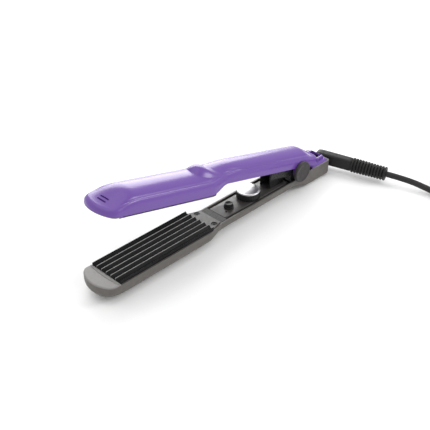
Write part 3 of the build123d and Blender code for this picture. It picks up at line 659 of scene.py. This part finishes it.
class CRIMPER_OT_controls(bpy.types.Operator):
    """Build the control panel, its button in a raised ring, and the fluted dial with its bright cap"""
    bl_idname = "crimper.controls"
    bl_label = "Controls"

    def execute(self, context):
        panel = soft_slab(45.5, 11.0, 1.6, 14.6, PANEL_TOP, 0.5)
        surface("panel_plate", [shift(panel, 43.5)], finishes["panel"], "lower_arm", ["control_panel"],
                sharp=50)
        ring = [(4.1, PANEL_TOP - 0.2), (4.9, PANEL_TOP - 0.2), (4.9, 18.0), (4.75, 18.35), (4.5, 18.5),
                (4.25, 18.35), (4.1, 18.0), (4.1, PANEL_TOP - 0.2)]
        surface("button_collar", [lathe(ring, (BUTTON_X, 0, 0))], finishes["black"], "lower_arm",
                ["button_ring"], sharp=50)
        r = np.linspace(3.4, 0, 12)
        dish = [(float(a), 20.35 + 0.85 * (a / 3.4) ** 2) for a in r]
        press = [(0, 13.6), (4.6, 13.6), (4.6, 14.5), (4.0, 14.5), (4.0, 20.4), (3.9, 20.9), (3.65, 21.17)]
        surface("button_top", [lathe(press + dish, (BUTTON_X, 0, 0))], finishes["black"], "button",
                ["power_button"], sharp=50)

        def flutes(angle, h):
            """Thirty cosine waves round the side of the skirt."""
            return 1 + 0.012 * np.cos(30 * angle) * ((h > 16.9) & (h < DIAL_RISE - 0.4))

        def beads(angle, h):
            """Fifty-six cosine waves round the rim of the cap."""
            return 1 + 0.010 * np.cos(56 * angle) * (h < DIAL_RISE + 0.75)

        low = PANEL_TOP + 0.3
        top = DIAL_RISE
        skirt = [(0, low), (11.9, low), (12.15, low + 0.25), (12.15, 17.2), (12.0, 19.5), (11.9, top - 0.6),
                 (11.75, top - 0.1), (11.5, top), (0, top)]
        surface("dial_skirt", [lathe(skirt, (DIAL_X, 0, 0), steps=240, ripple=flutes)],
                finishes["black"], "dial", ["dial_knob"], sharp=50)
        dome = [(float(a), top + 1.6 - 0.5 * (a / 10.2) ** 2) for a in np.linspace(10.2, 0, 14)]
        face = [(0, top), (11.6, top), (11.7, top + 0.15), (11.7, top + 0.7), (11.4, top + 1.1),
                (11.0, top + 1.3), (10.6, top + 1.15)] + dome
        surface("dial_face", [lathe(face, (DIAL_X, 0, 0), steps=288, ripple=beads)],
                finishes["chrome"], "dial", ["dial_cap"], sharp=50)
        marks = [shift(soft_slab(0.28, 0.8, 0.2, top + 1.0, top + 1.36, 0.05), DIAL_X + 7.6, 4.2),
                 shift(soft_slab(0.28, 0.8, 0.2, top + 1.0, top + 1.33, 0.05), DIAL_X + 9.2, -1.0)]
        surface("dial_marks", marks, finishes["black"], "dial")
        return {"FINISHED"}


# ---------------------------------------------------------------- hinge and outlet

class CRIMPER_OT_hinge(bpy.types.Operator):
    """Build the two round caps over the hinge pin"""
    bl_idname = "crimper.hinge"
    bl_label = "Hinge Caps"

    def execute(self, context):
        profile = [(0, 17), (11.0, 17), (11.2, 17.2), (11.2, 19.6), (11.05, 20.05), (10.7, 20.35),
                   (10.2, 20.5), (9.6, 20.5), (9.3, 20.35), (6, 20.3), (0, 20.28)]
        for side, name, node in ((-1, "cap_near", "hinge_cap_near"), (1, "cap_far", "hinge_cap_far")):
            cap = shift(on_side(lathe(profile, (0, 0, 0), steps=96), side), HINGE_X, 0, HINGE_Z)
            surface(name, [cap], finishes["cap"], "lower_arm", [node], sharp=40)
        return {"FINISHED"}


# The outlet turns about the arm's length at the elbow, and the strain relief leaves it sideways.
ELBOW = np.array([161.5, 0.0, OUTLET_Z])
GLAND = np.array([0.3, -0.949, -0.032]) / np.linalg.norm([0.3, -0.949, -0.032])
ACROSS = np.array([0.949, 0.3, 0.0]) / np.linalg.norm([0.949, 0.3, 0.0])
GLAND_LENGTH = 72.0


class CRIMPER_OT_outlet(bpy.types.Operator):
    """Build the turning elbow, its square bar and the ribbed strain relief"""
    bl_idname = "crimper.outlet"
    bl_label = "Cord Outlet"

    def execute(self, context):
        up = np.cross(GLAND, ACROSS)
        along = np.array([-7.0, -6.6, -5.5, -3.0, 0, 8, 16, 24, 30, 32.5, 33.6, 34.1])
        half_w = np.array([2.5, 4.0, 4.9, 5.4, 5.5, 5.5, 5.45, 5.4, 5.4, 5.35, 5.0, 3.6])
        half_h = np.array([3.5, 5.0, 6.0, 6.4, 6.5, 6.5, 6.45, 6.4, 6.4, 6.35, 6.0, 4.4])
        rows = []
        for a, w, h in zip(along, half_w, half_h):
            ring = rounded_rectangle(w, h, min(w, h) * 0.45, 7)
            rows.append(np.column_stack([ring, np.full(len(ring), a)]))
        bar = placed(capped(rows), ELBOW, ACROSS, up, GLAND)
        stub = [(0, 154.6), (4.6, 154.6), (5.1, 155.0), (5.5, 155.6), (5.5, 164.0), (4.5, 165.5), (0, 165.8)]
        stub = lathe(stub, (0, 0, OUTLET_Z), axis="X", steps=48)
        profile = [(0.0, 32.0), (5.4, 32.5)]
        for i in range(12):
            start = 34.5 + 3.2 * i
            rim = 8.0 - 0.06 * i
            core = 5.6 - 0.1 * i
            profile += [(core, start - 0.1), (rim - 0.25, start), (rim, start + 0.3), (rim, start + 1.4),
                        (rim - 0.25, start + 1.7), (core, start + 1.8)]
        profile += [(4.4, GLAND_LENGTH - 0.5), (4.2, GLAND_LENGTH), (0, GLAND_LENGTH)]
        ribs = placed(lathe(profile, (0, 0, 0), steps=56), ELBOW, ACROSS, up, GLAND)
        surface("cord_gland", [stub, bar, ribs], finishes["rubber"], "cord_outlet", ["strain_relief"],
                sharp=35)
        return {"FINISHED"}


# ---------------------------------------------------------------- cord

COIL = np.array([243.0, -149.0])  # the coil's middle on the table
COIL_RADIUS = 45.3  # of the outermost turn's centreline
CORD_PITCH = 6.3
FLOOR_Z = 3.2  # height of the cord's centreline where it lies on the table
GLAND_END = ELBOW + GLAND_LENGTH * GLAND
PLUG_X = 294.3
PLUG_REAR = -127.0
PLUG_REAR_Z = 5.2
PLUG_Z = 7.0
PLUG_LENGTH = 36


def coil_turns(pitch, points_per_turn=16):
    """Two layers of round turns: the radius steps by a pitch once a turn, in on the floor and out on top.

    The control points lie outside the turn by the share that a quadratic spline cuts off its corners."""
    squeeze = 0.75 + 0.25 * math.cos(2 * math.pi / points_per_turn)
    step = np.arange(0, 7.26, 1 / points_per_turn)
    turn, part = np.floor(step), step % 1
    jog = ease(part, 0.62, 0.98)
    inward = np.minimum(turn + jog, 3)
    outward = np.clip(turn - 4 + jog, 0, 3)
    radius = COIL_RADIUS - pitch * inward + pitch * np.where(turn >= 4, outward, 0)
    height = FLOOR_Z + pitch * np.where(turn >= 4, 1, np.where(turn == 3, jog, 0))
    angle = math.pi + 2 * math.pi * step
    circle = radius / squeeze
    return np.column_stack([COIL[0] + circle * np.cos(angle), COIL[1] + circle * np.sin(angle), height])


class CRIMPER_OT_cord(bpy.types.Operator):
    """Lay the cord from its strain relief to a tied coil and on to the plug"""
    bl_idname = "crimper.cord"
    bl_label = "Cord and Plug"

    def execute(self, context):
        sizes = context.scene.crimper_sizes
        lead = [tuple(GLAND_END), tuple(GLAND_END + 24 * GLAND), (195.6, -112.5, 5.6),
                (197.4, -130.0, FLOOR_Z)]
        tail = [(260.0, -195.6, 8.6), (273.5, -195.5, 4.2), (291.1, -182.3, FLOOR_Z),
                (296.4, -160.0, FLOOR_Z), (PLUG_X, -143.0, FLOOR_Z), (PLUG_X, PLUG_REAR, PLUG_REAR_Z)]
        route = np.concatenate([lead, coil_turns(CORD_PITCH), tail])
        line = bpy.data.curves.new("cord", "CURVE")
        line.dimensions = "3D"
        spline = line.splines.new("NURBS")
        spline.points.add(len(route) - 1)
        spline.points.foreach_set("co", np.column_stack([route * MM, np.ones(len(route))]).ravel())
        spline.order_u = 3
        spline.use_endpoint_u = True
        spline.resolution_u = 6
        line.bevel_depth = sizes.cord_diameter / 2
        line.bevel_resolution = 5
        line.use_fill_caps = True
        line.materials.append(finishes["cord"])
        cord = bpy.data.objects.new("cord", line)
        context.scene.collection.objects.link(cord)
        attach(cord, "cord_outlet")
        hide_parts("cord_lead", "cord_coil", "cord_tail")

        # The plug's cross sections, each (way along it, half width, half height, corner radius).
        sections = ((0, 3.4, 3.4, 3.2), (0.6, 4.2, 4.2, 3.6), (7, 4.8, 4.6, 3.8), (11, 6.2, 5.2, 4),
                    (17, 11.5, 6.0, 4.5), (22, 15.2, 6.6, 5), (26, 16.6, 6.9, 5), (34, 16.9, 6.95, 5),
                    (35.4, 16.6, 6.7, 5), (PLUG_LENGTH, 16.0, 6.2, 4.6))
        rows = []
        for along, half_width, half_height, corner in sections:
            ring = rounded_rectangle(half_width, half_height, corner, 9)
            lift = PLUG_REAR_Z + (PLUG_Z - PLUG_REAR_Z) * min(along / 17, 1)
            rows.append(np.column_stack([PLUG_X + ring[:, 0], np.full(len(ring), PLUG_REAR + along),
                                         ring[:, 1] + lift]))
        plug = surface("plug", [capped(rows)], finishes["rubber"], "cord_outlet", ["plug_body"],
                       sharp=40)
        pin = [(0, -0.5), (2.35, -0.5), (2.4, 1.7), (2.0, 2.5), (2.0, 17.3), (1.7, 18.5), (1.0, 19.0),
               (0, 19.0)]
        places = [(PLUG_X + x, PLUG_REAR + PLUG_LENGTH, PLUG_Z) for x in (-9.5, 9.5)]
        pins = surface("plug_contacts", [lathe(pin, place, axis="Y", steps=28) for place in places],
                       finishes["brass"], "cord_outlet", ["plug_pins"], sharp=40)
        return {"FINISHED"}


# ---------------------------------------------------------------- carried-over nodes

NODE_FINISH = {
    "trim": ["lower_inner_frame", "upper_inner_frame", "upper_neck_cover"],
    "black": ["neck_deck", "lower_wire_shroud", "upper_wire_shroud", "swivel_socket", "hinge_bracket"],
    "rubber": ["swivel_barrel"],
    "nylon": ["hinge_bushes", "swivel_collar", "tact_switch"],
    "mica": ["lower_plate_carrier", "upper_plate_carrier"],
    "ceramic": ["lower_heater", "upper_heater"],
    "screw": ["lower_plate_screws", "lower_case_screws", "upper_cover_screws"],
    "steel": ["hinge_pin", "dial_shaft", "thermal_fuse"],
    "spring": ["return_spring"],
    "lens": ["indicator_lens", "indicator_led"],
    "board": ["circuit_board"],
    "blue": ["dial_potentiometer"],
    "wire": ["heater_leads", "mains_leads", "upper_leads"],
    "tie": ["cord_tie"],
}


class CRIMPER_OT_finishes(bpy.types.Operator):
    """Give every carried-over part of the frame its finish"""
    bl_idname = "crimper.finishes"
    bl_label = "Frame Finishes"

    def execute(self, context):
        for key, names in NODE_FINISH.items():
            for name in names:
                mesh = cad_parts[name].data
                mesh.materials.clear()
                mesh.materials.append(finishes[key])
        return {"FINISHED"}


# ---------------------------------------------------------------- stage

class CRIMPER_OT_stage(bpy.types.Operator):
    """Make the camera, the pale floor and the soft studio lights"""
    bl_idname = "crimper.stage"
    bl_label = "Stage"

    def execute(self, context):
        scene = context.scene
        lens = bpy.data.cameras.new("camera")
        lens.lens = 72.2
        lens.sensor_width = 36
        camera = bpy.data.objects.new("camera", lens)
        scene.collection.objects.link(camera)
        camera.location = (-0.4991, -0.4865, 0.4848)
        camera.rotation_mode = "QUATERNION"
        camera.rotation_quaternion = Vector((0.5903, 0.5813, -0.5601)).to_track_quat("-Z", "Y")
        scene.camera = camera
        across = np.linspace(-4.0, 4.0, 9)
        u, v = (a.ravel() for a in np.meshgrid(across, across))
        mesh = bpy.data.meshes.new("floor")
        faces = grid_faces(len(across), len(across), 0, False, False)[:, ::-1]
        mesh.from_pydata(np.stack([u, v, np.full(u.shape, -0.0004)], -1), [], faces)
        mesh.materials.append(finish("floor_white", (0.93, 0.93, 0.93), 0.7, grain=20, depth=0.02,
                                     mottle=0.01, patch=300))
        floor = bpy.data.objects.new("floor", mesh)
        scene.collection.objects.link(floor)
        world = bpy.data.worlds.new("studio")
        scene.world = world
        world.use_nodes = True
        backdrop = world.node_tree.nodes["Background"]
        backdrop.inputs["Color"].default_value = (1, 1, 1, 1)
        backdrop.inputs["Strength"].default_value = 0.92
        # Each softbox's name, place, size across and power.
        softboxes = (("rear softbox", (0.95, 1.15, 0.55), 1.2, 14),
                     ("near softbox", (0.95, -0.9, 0.85), 0.6, 7),
                     ("top softbox", (-0.15, 0.25, 1.4), 1.6, 4))
        for name, at, size, power in softboxes:
            light = bpy.data.lights.new(name, "AREA")
            light.shape = "DISK"
            light.size = size
            light.energy = power
            lamp = bpy.data.objects.new(name, light)
            scene.collection.objects.link(lamp)
            lamp.location = at
            lamp.rotation_mode = "QUATERNION"
            lamp.rotation_quaternion = (Vector((0, 0, 0.03)) - Vector(at)).to_track_quat("-Z", "Y")
        scene.view_settings.view_transform = "Standard"
        return {"FINISHED"}


# ---------------------------------------------------------------- add-on

class CrimperSizes(bpy.types.PropertyGroup):
    """The sizes that a user would change"""
    cord_length: FloatProperty(name="Cord Length", description="Whole length of the cord", default=1.8,
                               unit="LENGTH")
    cord_diameter: FloatProperty(name="Cord Diameter", description="Thickness of the cord", default=0.0063,
                                 unit="LENGTH")
    ridge_count: IntProperty(name="Ridges", description="Grooves across each plate", default=6)
    ridge_depth: FloatProperty(name="Ridge Depth", description="Height from valley to crest", default=0.0028,
                               unit="LENGTH")
    fin_height: FloatProperty(name="Thumb Rest Height", description="Rise of the thumb rest, in millimetres",
                              default=4.6)
    bead_depth: FloatProperty(name="Shoulder Bead", description="Rise of the shoulder line, in millimetres",
                              default=0.7)
    groove_depth: FloatProperty(name="Neck Groove", description="Depth of the neck's grooves, in millimetres",
                                default=0.35)


def colour(name, description, value):
    """A colour property, in linear red, green and blue."""
    return FloatVectorProperty(name=name, description=description, default=value, subtype="COLOR", min=0,
                               max=1)


class CrimperColours(bpy.types.PropertyGroup):
    """The colours that a user would change"""
    shell: colour("Shell", "Colour of the upper shell", (0.122, 0.05, 0.29))
    lower_case: colour("Lower Case", "Colour of the lower case", (0.095, 0.087, 0.078))
    tip: colour("Cool Tip", "Colour of the cool tips", (0.22, 0.21, 0.205))
    trim: colour("Trim", "Colour of the inner frames", (0.062, 0.057, 0.054))
    panel: colour("Panel", "Colour of the control panel", (0.05, 0.046, 0.044))
    black: colour("Black", "Colour of the black mouldings", (0.006, 0.0055, 0.0055))
    rubber: colour("Rubber", "Colour of the strain relief and plug", (0.009, 0.0085, 0.0085))
    cord: colour("Cord", "Colour of the cord", (0.011, 0.0095, 0.0095))
    plate: colour("Plates", "Colour of the plate coating", (0.0035, 0.0035, 0.0042))
    chrome: colour("Dial Cap", "Colour of the bright dial cap", (0.68, 0.68, 0.69))
    hinge_cap: colour("Hinge Cap", "Colour of the hinge caps", (0.034, 0.031, 0.031))


STEPS = (CRIMPER_OT_stage, CRIMPER_OT_cord, CRIMPER_OT_outlet, CRIMPER_OT_shells, CRIMPER_OT_tips,
         CRIMPER_OT_plates, CRIMPER_OT_controls, CRIMPER_OT_hinge, CRIMPER_OT_finishes)


class CRIMPER_PT_panel(bpy.types.Panel):
    """Sidebar panel with the sizes, the colours and one button for each step"""
    bl_idname = "CRIMPER_PT_panel"
    bl_label = "Hair Crimper"
    bl_space_type = "VIEW_3D"
    bl_region_type = "UI"
    bl_category = "Crimper"

    def draw(self, context):
        for group in (context.scene.crimper_sizes, context.scene.crimper_colours):
            for key in group.__annotations__:
                self.layout.prop(group, key)
        for step in STEPS:
            self.layout.operator(step.bl_idname)


CLASSES = (CrimperSizes, CrimperColours, *STEPS, CRIMPER_PT_panel)


def register():
    for each in CLASSES:
        bpy.utils.register_class(each)
    bpy.types.Scene.crimper_sizes = PointerProperty(type=CrimperSizes)
    bpy.types.Scene.crimper_colours = PointerProperty(type=CrimperColours)


def unregister():
    del bpy.types.Scene.crimper_colours
    del bpy.types.Scene.crimper_sizes
    for each in reversed(CLASSES):
        bpy.utils.unregister_class(each)


def main():
    """Registers the add-on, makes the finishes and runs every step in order."""
    register()
    make_finishes(bpy.context.scene.crimper_colours)
    for step in STEPS:
        group, name = step.bl_idname.split(".")
        getattr(getattr(bpy.ops, group), name)()


if __name__ == "__main__":
    main()
